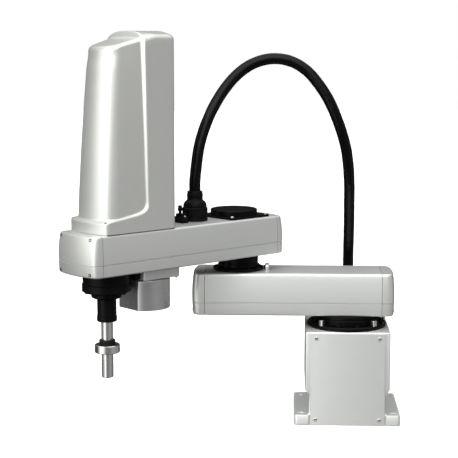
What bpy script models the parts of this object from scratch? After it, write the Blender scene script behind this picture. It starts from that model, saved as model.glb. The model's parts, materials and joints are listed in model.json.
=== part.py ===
"""Four-axis SCARA robot arm: two swinging arms, a Z slide and a turning tool shaft.

The numbers below are millimetres, and add_part() converts each mesh to metres.
The origin is on the floor under the shoulder axis. +Z is up, -Y is the front of
the base, and at rest arm 1 points along -X with arm 2 swung towards the front.

Each arm's pieces are drawn in that arm's own frame: x runs along the arm from
its joint axis, y is sideways, and z is the height above the floor.
"""
import math

import bmesh
import bpy
from mathutils import Matrix, Vector

MM = 0.001
GAP = 0.3
SEGMENTS = 32

# Kinematics
ARM1_LENGTH = 200.0
ARM2_LENGTH = 300.0
ARM1_HEADING = 180.0
ARM2_SWING = 44.5

# Base
BASE_TOP = 171.0
FLANGE_HALF_WIDTH = 95.5
FLANGE_THICKNESS = 19.0
FLANGE_FRONT = -75.0
FLANGE_REAR = 81.0
FOOT_HALF_WIDTH = 69.7
BODY_HALF_WIDTH = 76.0
BODY_FRONT = -72.3
BODY_REAR = 78.0
BODY_STEP = 60.0
BASE_WALL = 8.0
ANCHOR_X = 84.0
ANCHOR_Y = 61.0
ANCHOR_RADIUS = 4.5
COVER_PLATE = 2.4
COVER_PLATE_HALF_WIDTH = 66.7
CONNECTOR_BOX_TOP = 150.0
CONNECTOR_BOX_REAR = 134.0

# Shoulder
SHOULDER_RING_RADIUS = 72.0
SHOULDER_RADIUS = 57.5
SHOULDER_STOP_RADIUS = 68.0
SHOULDER_STOP_ANGLES = {"left": 226.8, "right": -46.8}

# Arm 1
ARM1_BOTTOM = 196.0
ARM1_HEIGHT = 77.0
ARM1_HALF_WIDTH = 51.5
ARM1_REAR = -60.6
ARM1_FRONT = 258.9
ARM1_CAP = 25.0

# Elbow
ELBOW_RADIUS = 36.5
ELBOW_FLANGE_RADIUS = 46.0
ELBOW_FLANGE_TOP = 278.5
J2_MOTOR_X = 11.0

# Arm 2
ARM2_BOTTOM = 303.0
ARM2_HEIGHT = 69.0
ARM2_HALF_WIDTH = 55.0
ARM2_REAR = -47.0
ARM2_FRONT = 345.4
ARM2_CAP = 17.5
ARM_WALL = 6.0
ARM_EDGE = 3.0
GROOVE_RATIO = 0.30
GROOVE_HALF_HEIGHT = 1.4
GROOVE_DEPTH = 1.2

# Z cover, in arm 2's frame
COVER_REAR = 190.7
COVER_STEP = 253.0
COVER_HALF_WIDTH = 52.4
COVER_BOTTOM = ARM2_BOTTOM + ARM2_HEIGHT + GAP
COVER_TOP = 704.0
COVER_SKIRT_FRONT = 337.0
COVER_SKIRT_TOP = 389.0
COVER_WALL = 3.0
NOSE_FRONT = (330.0, 309.5)
NOSE_HALF_WIDTH = (48.3, 39.6)
NOSE_TOP = 680.0
NOSE_TOP_SLOPE = 0.2885

# Z and R axes, in arm 2's frame
SCREW_X = 238.0
SCREW_Y = 20.0
Z_MOTOR_X = 264.0
Z_MOTOR_Y = -17.5
R_MOTOR_X = 215.0
SHAFT_RADIUS = 10.0
SHAFT_BOTTOM = 120.5
SHAFT_TOP = 534.0
BORE_CLEARANCE = 0.4
NUT_PULLEY_RADIUS = 26.0
R_PULLEY_RADIUS = 16.0
CARRIAGE_Z = (505.0, 523.0)

# Hose
HOSE_DIAMETER = 20.5
HOSE_SPACING = 2.4
BASE_GLAND_X = 6.5
BASE_GLAND_Y = 106.0
BASE_GLAND_TOP = 188.0
ARM2_GLAND_X = 104.0
ARM2_GLAND_TOP = 425.0

ARM1_TOP = ARM1_BOTTOM + ARM1_HEIGHT
ARM2_TOP = ARM2_BOTTOM + ARM2_HEIGHT


# ---------------------------------------------------------------- outlines

def arc(cx, cy, radius, start, end, steps):
    """Points on an arc, with both ends, angles in degrees."""
    points = []
    for i in range(steps + 1):
        angle = math.radians(start + (end - start) * i / steps)
        points.append((cx + radius * math.cos(angle), cy + radius * math.sin(angle)))
    return points


def circle(radius, z, cx=0.0, cy=0.0, segments=SEGMENTS):
    """One ring of points about a vertical axis."""
    turn = 2 * math.pi / segments
    return [(cx + radius * math.cos(i * turn), cy + radius * math.sin(i * turn), z)
            for i in range(segments)]


def rounded_rectangle(x0, x1, y0, y1, radius, steps=3):
    """Counter-clockwise outline of a rectangle with round corners."""
    return (arc(x1 - radius, y0 + radius, radius, -90, 0, steps)
            + arc(x1 - radius, y1 - radius, radius, 0, 90, steps)
            + arc(x0 + radius, y1 - radius, radius, 90, 180, steps)
            + arc(x0 + radius, y0 + radius, radius, 180, 270, steps))


def belt_outline(centre_a, radius_a, centre_b, radius_b, steps=20):
    """Outline of a belt, or of the space inside it, round two pulleys."""
    ax, ay = centre_a
    bx, by = centre_b
    heading = math.degrees(math.atan2(by - ay, bx - ax))
    spread = math.degrees(math.acos((radius_a - radius_b) / math.hypot(bx - ax, by - ay)))
    return (arc(ax, ay, radius_a, heading + spread, heading + 360 - spread, steps)
            + arc(bx, by, radius_b, heading - spread, heading + spread, steps))


def arm_section(half_width, bottom, height):
    """An arm extrusion's outer section as (y, z), with a groove along each side."""
    top = bottom + height
    edge = ARM_EDGE
    inner = half_width - edge
    groove = bottom + GROOVE_RATIO * height
    lips = [(0.0, -GROOVE_HALF_HEIGHT), (GROOVE_DEPTH, -GROOVE_HALF_HEIGHT + 0.5),
            (GROOVE_DEPTH, GROOVE_HALF_HEIGHT - 0.5), (0.0, GROOVE_HALF_HEIGHT)]
    right = [(half_width - depth, groove + z) for depth, z in lips]
    left = [(-half_width + depth, groove + z) for depth, z in reversed(lips)]
    return (arc(inner, bottom + edge, edge, -90, 0, 3) + right
            + arc(inner, top - edge, edge, 0, 90, 3)
            + arc(-inner, top - edge, edge, 90, 180, 3) + left
            + arc(-inner, bottom + edge, edge, 180, 270, 3))


def cap_outline(seam, thickness, half_width, corner, crown, inset):
    """An end cap seen from above: round corners and a slightly crowned front."""
    front = seam + thickness - crown
    side = half_width - corner
    points = [(seam, -half_width + inset)]
    points += arc(front - corner, -side, corner - inset, -90, 0, 5)
    for i in range(1, 6):
        y = side * (i / 3 - 1)
        points.append((front - inset + crown * (1 - (y / side) ** 2), y))
    points += arc(front - corner, side, corner - inset, 0, 90, 5)
    points.append((seam, half_width - inset))
    return points


def flat(outline, z):
    """The outline as a ring of points at one height."""
    return [(x, y, z) for x, y in outline]


# ------------------------------------------------------------------ solids

def loft(rings, closed=False):
    """Skin through rings of equal length; closed joins the last ring to the first."""
    bm = bmesh.new()
    loops = [[bm.verts.new(point) for point in ring] for ring in rings]
    pairs = list(zip(loops, loops[1:]))
    if closed:
        pairs.append((loops[-1], loops[0]))
    for lower, upper in pairs:
        for i in range(len(lower)):
            j = (i + 1) % len(lower)
            bm.faces.new((lower[i], lower[j], upper[j], upper[i]))
    if not closed:
        bm.faces.new(list(reversed(loops[0])))
        bm.faces.new(loops[-1])
    bmesh.ops.recalc_face_normals(bm, faces=bm.faces)
    return bm


def prism(outline, z0, z1):
    """The outline extruded upwards."""
    return loft([flat(outline, z0), flat(outline, z1)])


def box(x0, x1, y0, y1, z0, z1):
    """A plain block."""
    return prism([(x0, y0), (x1, y0), (x1, y1), (x0, y1)], z0, z1)


def turned(profile, cx=0.0, cy=0.0, segments=SEGMENTS):
    """A solid of revolution from (radius, z) points, bottom to top."""
    return loft([circle(radius, z, cx, cy, segments) for radius, z in profile])


def turned_ring(profile, cx=0.0, cy=0.0, segments=SEGMENTS):
    """A ring of revolution: its profile is a closed loop that stays off the axis."""
    return loft([circle(radius, z, cx, cy, segments) for radius, z in profile], closed=True)


def sleeve(inner, outer, z0, z1, cx=0.0, cy=0.0):
    """A plain tube."""
    return turned_ring([(inner, z0), (outer, z0), (outer, z1), (inner, z1)], cx, cy)


def lying_cylinder(radius, x, y0, y1, z, segments=24):
    """A cylinder along Y."""
    rings = [[(px, y, pz) for px, pz in arc(x, z, radius, 0, 360 - 360 / segments, segments - 1)]
             for y in (y0, y1)]
    return loft(rings)


def extruded_section(section, x0, x1):
    """A (y, z) section extruded along X."""
    return loft([[(x, y, z) for y, z in section] for x in (x0, x1)])


# ----------------------------------------------------------------- objects

def make_material(name, colour, roughness, metallic=0.0):
    """A Principled material."""
    material = bpy.data.materials.new(name)
    material.use_nodes = True
    shader = material.node_tree.nodes["Principled BSDF"]
    shader.inputs["Base Color"].default_value = (*colour, 1.0)
    shader.inputs["Roughness"].default_value = roughness
    shader.inputs["Metallic"].default_value = metallic
    return material


def add_mesh_object(name, bm, parent):
    """A mesh object in metres under its body's empty."""
    bmesh.ops.scale(bm, vec=(MM, MM, MM), verts=bm.verts)
    mesh = bpy.data.meshes.new(name)
    bm.to_mesh(mesh)
    bm.free()
    mesh.shade_smooth()
    mesh.set_sharp_from_angle(angle=math.radians(30))
    part = bpy.data.objects.new(name, mesh)
    bpy.context.scene.collection.objects.link(part)
    part.parent = parent
    return part


def add_part(name, bm, parent, material, bevel=0.0):
    """One sub-part, with an optional edge bevel in millimetres."""
    part = add_mesh_object(name, bm, parent)
    part.data.materials.append(material)
    if bevel:
        modifier = part.modifiers.new("edges", "BEVEL")
        modifier.width = bevel * MM
        modifier.segments = 1
        modifier.limit_method = "ANGLE"
    return part


def combine(part, bm, operation="DIFFERENCE"):
    """Cut a shape out of a part, or join one to it."""
    tool = add_mesh_object(f"{part.name}_tool{len(part.modifiers)}", bm, part.parent)
    tool.hide_render = True
    tool.display_type = "WIRE"
    modifier = part.modifiers.new("shape", "BOOLEAN")
    modifier.operation = operation
    modifier.solver = "EXACT"
    modifier.object = tool


def add_body(name, parent=None, x=0.0, y=0.0, heading=0.0):
    """An empty on a joint's axis, which its body's pieces hang from."""
    empty = bpy.data.objects.new(name, None)
    empty.empty_display_size = 40 * MM
    bpy.context.scene.collection.objects.link(empty)
    empty.parent = parent
    empty.location = (x * MM, y * MM, 0.0)
    empty.rotation_euler = (0.0, 0.0, math.radians(heading))
    return empty


# -------------------------------------------------------------------- base

def build_base(body, paint, black, steel):
    """The cast base with its covers, connectors, stops and shoulder drive."""
    outlines = [
        (0.0, FLANGE_HALF_WIDTH, FLANGE_FRONT, FLANGE_REAR, 4.0),
        (FLANGE_THICKNESS, FLANGE_HALF_WIDTH, FLANGE_FRONT, FLANGE_REAR, 4.0),
        (FLANGE_THICKNESS, FOOT_HALF_WIDTH, BODY_FRONT + 0.5, BODY_REAR - 0.5, 3.0),
        (BODY_STEP, FOOT_HALF_WIDTH, BODY_FRONT + 0.5, BODY_REAR - 0.5, 3.0),
        (BODY_STEP, BODY_HALF_WIDTH, BODY_FRONT, BODY_REAR, 3.0),
        (BASE_TOP, BODY_HALF_WIDTH, BODY_FRONT, BODY_REAR, 3.0),
    ]
    rings = [flat(rounded_rectangle(-half, half, front, rear, radius), z)
             for z, half, front, rear, radius in outlines]
    housing = add_part("base_housing", loft(rings), body, paint)
    inside = FOOT_HALF_WIDTH - BASE_WALL
    combine(housing, box(-inside, inside, BODY_FRONT - 10, BODY_REAR - BASE_WALL,
                         BASE_WALL, BASE_TOP - BASE_WALL))
    combine(housing, box(-FOOT_HALF_WIDTH - GAP, FOOT_HALF_WIDTH + GAP, FLANGE_FRONT - 5,
                         BODY_FRONT, -1.0, FLANGE_THICKNESS + 1))
    combine(housing, turned([(46.0, BASE_TOP - 20), (46.0, BASE_TOP + 5)]))
    for x in (-ANCHOR_X, ANCHOR_X):
        for y in (-ANCHOR_Y, ANCHOR_Y):
            combine(housing, turned([(ANCHOR_RADIUS, -1.0), (ANCHOR_RADIUS, FLANGE_THICKNESS + 1)],
                                    x, y, 16))

    front = BODY_FRONT - GAP
    plate_front = front - COVER_PLATE
    plate = box(-COVER_PLATE_HALF_WIDTH, COVER_PLATE_HALF_WIDTH, plate_front, front, 1.0,
                BASE_TOP - 2.5)
    add_part("base_front_cover", plate, body, paint, 0.5)
    screws = [(-56.5, 160.0), (56.5, 160.0), (-57.5, 10.5), (57.5, 10.5)]
    for index, (x, z) in enumerate(screws, 1):
        screw = lying_cylinder(3.2, x, plate_front - GAP, plate_front - GAP - 1.4, z, 12)
        add_part(f"front_cover_screw_{index}", screw, body, steel)

    box_front = BODY_REAR + GAP
    connector_box = box(-38, 38, box_front, CONNECTOR_BOX_REAR, 24.0, CONNECTOR_BOX_TOP)
    add_part("base_connector_box", connector_box, body, paint, 2.0)
    rear = CONNECTOR_BOX_REAR + GAP
    add_part("robot_cable_socket", box(-30, 6, rear, rear + 12, 96, 128), body, black, 1.5)
    add_part("user_signal_socket", box(14, 32, rear, rear + 9, 100, 124), body, black, 1.0)
    for index, x in enumerate((-12.0, 12.0), 1):
        fitting = lying_cylinder(5.0, x, rear, rear + 14, 66.0, 16)
        add_part(f"base_air_fitting_{index}", fitting, body, black)

    z = CONNECTOR_BOX_TOP + GAP
    gland = [(20.0, z), (20.0, z + 22), (17.0, z + 26), (13.5, z + 26), (13.5, BASE_GLAND_TOP)]
    add_part("base_hose_gland", turned(gland, BASE_GLAND_X, BASE_GLAND_Y), body, black)

    add_part("j1_motor", box(-30, 30, -30, 30, 26, 118), body, black, 3.0)
    reducer = [(44.6, 118.3), (44.6, 178.6), (SHOULDER_RADIUS, 178.6), (SHOULDER_RADIUS, 188.0)]
    add_part("j1_reducer", turned(reducer, segments=48), body, black)
    ring = [(45.2, BASE_TOP + GAP), (SHOULDER_RING_RADIUS, BASE_TOP + GAP),
            (SHOULDER_RING_RADIUS, 177.0), (SHOULDER_RING_RADIUS - 1, 178.0), (45.2, 178.0)]
    add_part("j1_mounting_ring", turned_ring(ring, segments=48), body, black)
    for side, angle in SHOULDER_STOP_ANGLES.items():
        block = box(SHOULDER_STOP_RADIUS - 4.5, SHOULDER_STOP_RADIUS + 4.5, -4.5, 4.5, 178.3, 188.5)
        turn = Matrix.Rotation(math.radians(angle), 3, "Z")
        bmesh.ops.rotate(block, cent=(0.0, 0.0, 0.0), matrix=turn, verts=block.verts)
        add_part(f"j1_stopper_{side}", block, body, steel, 1.0)


# -------------------------------------------------------------------- arms

def build_arm_shell(name, body, paint, cap_paint, rear, front, bottom, height, half_width, cap):
    """An extruded arm, open at both ends, and the two caps that close it."""
    section = arm_section(half_width, bottom, height)
    profile = add_part(f"{name}_profile", extruded_section(section, rear, front), body, paint)
    inside = half_width - ARM_WALL
    combine(profile, box(rear - 5, front + 5, -inside, inside,
                         bottom + ARM_WALL, bottom + height - ARM_WALL))
    groove = bottom + GROOVE_RATIO * height
    levels = [(bottom, 2.4), (bottom + 0.8, 0.8), (bottom + 2.4, 0.0),
              (groove - GROOVE_HALF_HEIGHT, 0.0), (groove - GROOVE_HALF_HEIGHT + 0.5, GROOVE_DEPTH),
              (groove + GROOVE_HALF_HEIGHT - 0.5, GROOVE_DEPTH), (groove + GROOVE_HALF_HEIGHT, 0.0),
              (bottom + height - 2.4, 0.0), (bottom + height - 0.8, 0.8), (bottom + height, 2.4)]
    for end, direction, seam in (("front", 1, front + GAP), ("rear", -1, -rear + GAP)):
        rings = []
        for z, inset in levels:
            outline = cap_outline(seam, cap - GAP, half_width, 0.62 * cap, 0.18 * cap, inset)
            rings.append([(direction * x, y, z) for x, y in outline])
        add_part(f"{name}_{end}_cap", loft(rings), body, cap_paint)
    return profile


def build_arm1(body, paint, cap_paint, black, steel):
    """Arm 1, from the shoulder to the elbow."""
    build_arm_shell("arm1", body, paint, cap_paint, ARM1_REAR, ARM1_FRONT, ARM1_BOTTOM,
                    ARM1_HEIGHT, ARM1_HALF_WIDTH, ARM1_CAP)
    add_part("j1_output_hub", turned([(56.0, 188.3), (56.0, ARM1_BOTTOM - GAP)], segments=48),
             body, black)
    pin = turned([(3.0, 181.0), (3.0, ARM1_BOTTOM - GAP)], -SHOULDER_STOP_RADIUS, 0.0, 12)
    add_part("j1_stopper_pin", pin, body, steel)
    flange = turned([(ELBOW_FLANGE_RADIUS, ARM1_TOP + GAP), (ELBOW_FLANGE_RADIUS, ELBOW_FLANGE_TOP)],
                    ARM1_LENGTH, 0.0, 40)
    add_part("j2_lower_flange", flange, body, black)
    bolt = turned([(6.0, ARM1_TOP + GAP), (6.0, ARM1_TOP + 6.5), (3.6, ARM1_TOP + 6.5),
                   (3.6, ARM1_TOP + 11.5)], ARM1_LENGTH - 53.0, 0.0, 16)
    add_part("j2_stopper_bolt", bolt, body, steel)


def build_arm2(body, paint, cap_paint, black, grey, steel):
    """Arm 2 with the elbow drive and everything fixed to it."""
    profile = build_arm_shell("arm2", body, paint, cap_paint, ARM2_REAR, ARM2_FRONT, ARM2_BOTTOM,
                              ARM2_HEIGHT, ARM2_HALF_WIDTH, ARM2_CAP)
    floor = (ARM2_BOTTOM - 1, ARM2_BOTTOM + ARM_WALL + 1)
    roof = (ARM2_TOP - ARM_WALL - 1, ARM2_TOP + 1)
    holes = [(J2_MOTOR_X, 0.0, 37.0, roof), (ARM2_LENGTH, 0.0, 22.0, floor),
             (ARM2_LENGTH, 0.0, 16.0, roof), (R_MOTOR_X, 0.0, 9.0, floor)]
    for x, y, radius, (z0, z1) in holes:
        combine(profile, turned([(radius, z0), (radius, z1)], x, y, 24))

    reducer = turned([(ELBOW_RADIUS, ELBOW_FLANGE_TOP + GAP), (ELBOW_RADIUS, ARM2_BOTTOM - GAP)],
                     segments=40)
    add_part("j2_reducer", reducer, body, black)
    inside_floor = ARM2_BOTTOM + ARM_WALL + GAP
    add_part("j2_motor", turned([(34.0, inside_floor), (34.0, 382.0)], J2_MOTOR_X), body, black)
    plate_outline = rounded_rectangle(J2_MOTOR_X - 47, J2_MOTOR_X + 47, -47, 47, 5)
    plate = add_part("j2_motor_plate", prism(plate_outline, ARM2_TOP + GAP, 376.0), body, black)
    combine(plate, turned([(37.0, ARM2_TOP - 3), (37.0, 380.0)], J2_MOTOR_X))
    dome = turned([(42.5, 376.3), (42.5, 385.0), (40.5, 387.0)], J2_MOTOR_X, 0.0, 40)
    cap = add_part("j2_motor_cap", dome, body, black)
    combine(cap, turned([(38.5, 370.0), (38.5, 384.0)], J2_MOTOR_X))

    z = ARM2_TOP + GAP
    gland = [(22.5, z), (22.5, 402.0), (18.5, 410.0), (13.6, 410.0), (13.6, ARM2_GLAND_TOP)]
    add_part("arm2_hose_gland", turned(gland, ARM2_GLAND_X, 0.0), body, black)
    add_part("arm2_signal_socket", box(134, 148, -6, 18, z, 388.0), body, black, 1.0)
    add_part("arm2_air_fitting", turned([(2.8, 388.3), (2.8, 402.0)], 140.0, 2.0, 12), body, black)

    build_z_cover(body, paint)
    build_z_drive(body, black, grey, steel)
    build_r_drive(body, black, grey)


def build_z_cover(body, paint):
    """The tall cover over the Z drive: a full-width rear and a slimmer tapering nose."""
    def ring(level, inset):
        z, front, half, corner = level
        rear_half = COVER_HALF_WIDTH - inset
        half = min(half, COVER_HALF_WIDTH - 0.05) - inset
        front = front - inset
        corner = max(corner - inset, 1.0)
        rear = COVER_REAR + inset
        step = COVER_STEP - inset
        outline = [(rear, rear_half), (rear, -rear_half), (step, -rear_half), (step, -half)]
        outline += arc(front - corner, -half + corner, corner, -90, 0, 5)
        outline += arc(front - corner, half - corner, corner, 0, 90, 5)
        outline += [(step, half), (step, rear_half)]
        if z is not None:
            return flat(outline, z)
        top = []
        for i, (x, y) in enumerate(outline):
            nose = 3 <= i <= len(outline) - 2
            height = NOSE_TOP + NOSE_TOP_SLOPE * (304.0 - x) if nose else COVER_TOP
            top.append((x, y, height - inset))
        return top

    bottom = (COVER_BOTTOM, COVER_SKIRT_FRONT, COVER_HALF_WIDTH, 5.0)
    shoulder = (COVER_SKIRT_TOP, COVER_SKIRT_FRONT, COVER_HALF_WIDTH, 5.0)
    nose_foot = (COVER_SKIRT_TOP + 3, NOSE_FRONT[0], NOSE_HALF_WIDTH[0], 20.0)
    nose_head = (None, NOSE_FRONT[1], NOSE_HALF_WIDTH[1], 19.0)
    levels = [bottom, shoulder, nose_foot, nose_head]
    inner_levels = [bottom, (COVER_SKIRT_TOP - COVER_WALL, *shoulder[1:]),
                    (COVER_SKIRT_TOP, *nose_foot[1:]), nose_head]

    bm = bmesh.new()
    skins = []
    for inset, chosen in ((0.0, levels), (COVER_WALL, inner_levels)):
        loops = [[bm.verts.new(point) for point in ring(level, inset)] for level in chosen]
        for lower, upper in zip(loops, loops[1:]):
            join_loops(bm, lower, upper)
        head = loops[-1]
        bm.faces.new([head[0], head[1], head[2], head[-1]])
        bm.faces.new([head[2], head[3], head[-2], head[-1]])
        bm.faces.new(head[3:-1])
        skins.append(loops[0])
    join_loops(bm, *skins)
    bmesh.ops.recalc_face_normals(bm, faces=bm.faces)
    add_part("z_cover", bm, body, paint)


def join_loops(bm, lower, upper):
    """Quads between two loops of vertices."""
    for i in range(len(lower)):
        j = (i + 1) % len(lower)
        bm.faces.new((lower[i], lower[j], upper[j], upper[i]))


def build_z_drive(body, black, grey, steel):
    """The column, rail, motor and belt inside the Z cover."""
    shelf_bottom = 645.0
    column = [(200.0, COVER_BOTTOM), (207.0, COVER_BOTTOM), (207.0, shelf_bottom),
              (290.0, shelf_bottom), (290.0, shelf_bottom + 7), (200.0, shelf_bottom + 7)]
    rings = [[(x, y, z) for x, z in column] for y in (-36.0, 34.0)]
    frame = add_part("z_frame", loft(rings), body, grey)
    shelf = (shelf_bottom - 2, shelf_bottom + 9)
    for x, y, radius in ((SCREW_X, SCREW_Y, 7.5), (Z_MOTOR_X, Z_MOTOR_Y, 6.0)):
        combine(frame, turned([(radius, shelf[0]), (radius, shelf[1])], x, y, 20))
    add_part("z_guide_rail", box(207.3, 215.0, -18, -2, 385.0, 640.0), body, steel)
    add_part("z_screw_support", box(207.3, 252.0, 6, 34, COVER_BOTTOM, 384.0), body, grey, 1.0)
    motor = rounded_rectangle(Z_MOTOR_X - 19, Z_MOTOR_X + 19, Z_MOTOR_Y - 19, Z_MOTOR_Y + 19, 4)
    add_part("z_motor", prism(motor, 560.0, shelf_bottom - GAP), body, black)
    belt = prism(belt_outline((SCREW_X, SCREW_Y), 18.0, (Z_MOTOR_X, Z_MOTOR_Y), 14.0), 658.0, 666.0)
    z_belt = add_part("z_belt", belt, body, black)
    hole = prism(belt_outline((SCREW_X, SCREW_Y), 16.5, (Z_MOTOR_X, Z_MOTOR_Y), 12.5), 655.0, 669.0)
    combine(z_belt, hole)


def motor_cover_outline(inset):
    """The R motor cover from above: a round can with a flat front face."""
    radius, centre, front = 38.0 - inset, 217.8, 245.6 - inset
    turn = math.degrees(math.acos((front - centre) / radius))
    return arc(centre, 0.0, radius, turn, 360.0 - turn, 30)


def build_r_drive(body, black, grey):
    """The parts under arm 2: shaft bearing housing, R motor and its covers."""
    below = ARM2_BOTTOM - GAP
    housing = [(21.2, 268.6), (40.5, 268.6), (41.5, 270.0), (41.5, below), (21.2, below)]
    add_part("shaft_bearing_housing", turned_ring(housing, ARM2_LENGTH, 0.0, 40), body, black)
    add_part("shaft_seal_housing", sleeve(17.5, 26.0, 258.0, 268.3, ARM2_LENGTH), body, black)
    plate = add_part("r_motor_plate", box(167, 246, -35, 35, 284.0, below), body, black, 1.0)
    combine(plate, turned([(9.0, 280.0), (9.0, 306.0)], R_MOTOR_X, 0.0, 24))
    add_part("r_belt_cover", box(246.4, 257.6, -26, 26, 287.0, below), body, black, 1.0)
    cover = add_part("r_motor_cover", prism(motor_cover_outline(0.0), 232.0, 283.7), body, grey)
    combine(cover, prism(motor_cover_outline(2.5), 234.5, 290.0))
    add_part("r_motor", box(195, 235, -20, 20, 236.0, 283.7), body, black, 2.0)
    belt = prism(belt_outline((ARM2_LENGTH, 0.0), 28.0, (R_MOTOR_X, 0.0), 18.0), 316.0, 326.0)
    r_belt = add_part("r_belt", belt, body, black)
    combine(r_belt, prism(belt_outline((ARM2_LENGTH, 0.0), 26.5, (R_MOTOR_X, 0.0), 16.5),
                          312.0, 330.0))


# ------------------------------------------------------------ moving pieces

def build_carriage(body, grey, steel):
    """The Z carriage: guide block, bracket and ball nut."""
    low, high = CARRIAGE_Z
    add_part("z_guide_block", box(215.3, 227.0, -26, 6, low - 10, high + 4), body, steel, 1.0)
    outline = [(227.3, -26.0), (244.0, -26.0), (246.0, -14.0)]
    outline += arc(ARM2_LENGTH, 0.0, 14.5, -100, 100, 12)
    outline += [(262.0, 34.0), (227.3, 34.0)]
    bracket = add_part("z_carriage_bracket", prism(outline, low, high), body, grey)
    bore = SHAFT_RADIUS + BORE_CLEARANCE
    combine(bracket, turned([(bore, low - 5), (bore, high + 5)], ARM2_LENGTH, 0.0))
    combine(bracket, turned([(7.0, low - 5), (7.0, high + 5)], SCREW_X, SCREW_Y, 20))
    nut = sleeve(6.0 + BORE_CLEARANCE, 13.0, high + GAP, high + 24, SCREW_X, SCREW_Y)
    add_part("ball_nut", nut, body, steel)


def build_spindles(screw, z_motor_shaft, r_motor_shaft, nut, black, steel):
    """The pieces that turn: ball screw, motor pulleys and the spline nut."""
    add_part("ball_screw", turned([(6.0, 384.5), (6.0, 672.0)], segments=24), screw, steel)
    add_part("ball_screw_pulley", sleeve(6.0 + BORE_CLEARANCE, 16.0, 655.0, 669.0), screw, black)
    pulley = [(4.5, 645.2), (4.5, 655.0), (12.0, 655.0), (12.0, 669.0)]
    add_part("z_motor_pulley", turned(pulley), z_motor_shaft, steel)
    pulley = [(5.0, 284.2), (5.0, 313.0), (R_PULLEY_RADIUS, 313.0), (R_PULLEY_RADIUS, 329.0)]
    add_part("r_motor_pulley", turned(pulley), r_motor_shaft, steel)
    bore = SHAFT_RADIUS + BORE_CLEARANCE
    spline_nut = [(bore, 268.8), (20.6, 268.8), (20.6, 313.0), (NUT_PULLEY_RADIUS, 313.0),
                  (NUT_PULLEY_RADIUS, 329.0), (20.6, 329.0), (20.6, 338.0), (bore, 338.0)]
    add_part("spline_nut", turned_ring(spline_nut), nut, steel)
    add_part("spline_sleeve", sleeve(bore, 17.0, 218.0, 268.5), nut, black)


def build_tool_shaft(body, steel, rubber):
    """The splined shaft with its stop collar and bumper."""
    shaft = [(SHAFT_RADIUS - 1, SHAFT_BOTTOM), (SHAFT_RADIUS, SHAFT_BOTTOM + 1),
             (SHAFT_RADIUS, SHAFT_TOP)]
    add_part("tool_shaft", turned(shaft), body, steel)
    collar = [(SHAFT_RADIUS + GAP, 164.0), (20.5, 164.0), (21.3, 165.0), (21.3, 177.0),
              (20.5, 178.0), (SHAFT_RADIUS + GAP, 178.0)]
    add_part("stopper_collar", turned_ring(collar), body, steel)
    add_part("collar_bumper", sleeve(SHAFT_RADIUS + GAP, 13.8, 178.3, 186.0), body, rubber)


# -------------------------------------------------------------------- hose

def hose_route():
    """Hand-placed points of the hose in the base frame, from the base to arm 2."""
    swing = math.radians(ARM1_HEADING + ARM2_SWING)
    gland_x = -ARM1_LENGTH + ARM2_GLAND_X * math.cos(swing)
    gland_y = ARM2_GLAND_X * math.sin(swing)
    return [
        (BASE_GLAND_X, BASE_GLAND_Y, BASE_GLAND_TOP + GAP), (BASE_GLAND_X, BASE_GLAND_Y, 215.0),
        (6.5, 105.5, 250.0), (6.5, 101.5, 285.0), (6.5, 92.5, 322.0), (6.0, 78.0, 358.0),
        (5.0, 60.0, 392.0), (4.0, 42.0, 425.0), (1.0, 25.0, 460.0), (-4.0, 13.0, 493.0),
        (-13.0, 6.0, 525.0), (-23.0, 4.0, 552.0), (-36.5, 4.0, 582.0), (-53.5, 5.0, 608.5),
        (-74.0, 6.5, 632.5), (-95.5, 6.0, 647.5), (-118.0, 5.0, 655.2), (-140.5, 4.0, 656.5),
        (-162.5, 2.5, 652.2), (-183.5, -1.0, 642.5), (-204.5, -7.0, 626.0), (-225.0, -18.5, 601.5),
        (-241.0, -33.0, 575.0), (-253.0, -46.5, 549.0), (-262.0, -57.5, 523.0),
        (-268.0, -65.0, 497.0), (-272.0, -70.0, 466.0), (gland_x, gland_y, 441.0),
        (gland_x, gland_y, ARM2_GLAND_TOP + GAP),
    ]


def smooth_path(points, spacing):
    """Points about one spacing apart on a Catmull-Rom curve through the route."""
    points = [Vector(point) for point in points]
    padded = [2 * points[0] - points[1]] + points + [2 * points[-1] - points[-2]]
    fine = []
    for p0, p1, p2, p3 in zip(padded, padded[1:], padded[2:], padded[3:]):
        for step in range(12):
            t = step / 12
            fine.append(0.5 * (2 * p1 + (p2 - p0) * t + (2 * p0 - 5 * p1 + 4 * p2 - p3) * t ** 2
                               + (3 * p1 - p0 - 3 * p2 + p3) * t ** 3))
    fine.append(points[-1])
    total = sum((b - a).length for a, b in zip(fine, fine[1:]))
    count = max(2, round(total / spacing))
    path = [fine[0]]
    walked = 0.0
    for a, b in zip(fine, fine[1:]):
        walked += (b - a).length
        if walked >= total * len(path) / count and len(path) < count:
            path.append(b)
    path.append(fine[-1])
    return path


def build_hose(body, rubber):
    """The cable hose from the base gland over the shoulder to arm 2's gland."""
    path = smooth_path(hose_route(), HOSE_SPACING * HOSE_DIAMETER)
    straight_out = Vector((0.0, 0.0, HOSE_DIAMETER / 2))
    path.insert(1, path[0] + straight_out)
    path.insert(-1, path[-1] + straight_out)
    curve = bpy.data.curves.new("harness_hose", "CURVE")
    curve.dimensions = "3D"
    curve.bevel_depth = HOSE_DIAMETER / 2 * MM
    curve.bevel_resolution = 3
    curve.use_fill_caps = True
    curve.render_resolution_u = 0
    spline = curve.splines.new("POLY")
    spline.points.add(len(path) - 1)
    for point, place in zip(spline.points, path):
        point.co = (*(place * MM), 1.0)
    spline.use_smooth = True
    curve.materials.append(rubber)
    hose = bpy.data.objects.new("harness_hose", curve)
    bpy.context.scene.collection.objects.link(hose)
    hose.parent = body


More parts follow.
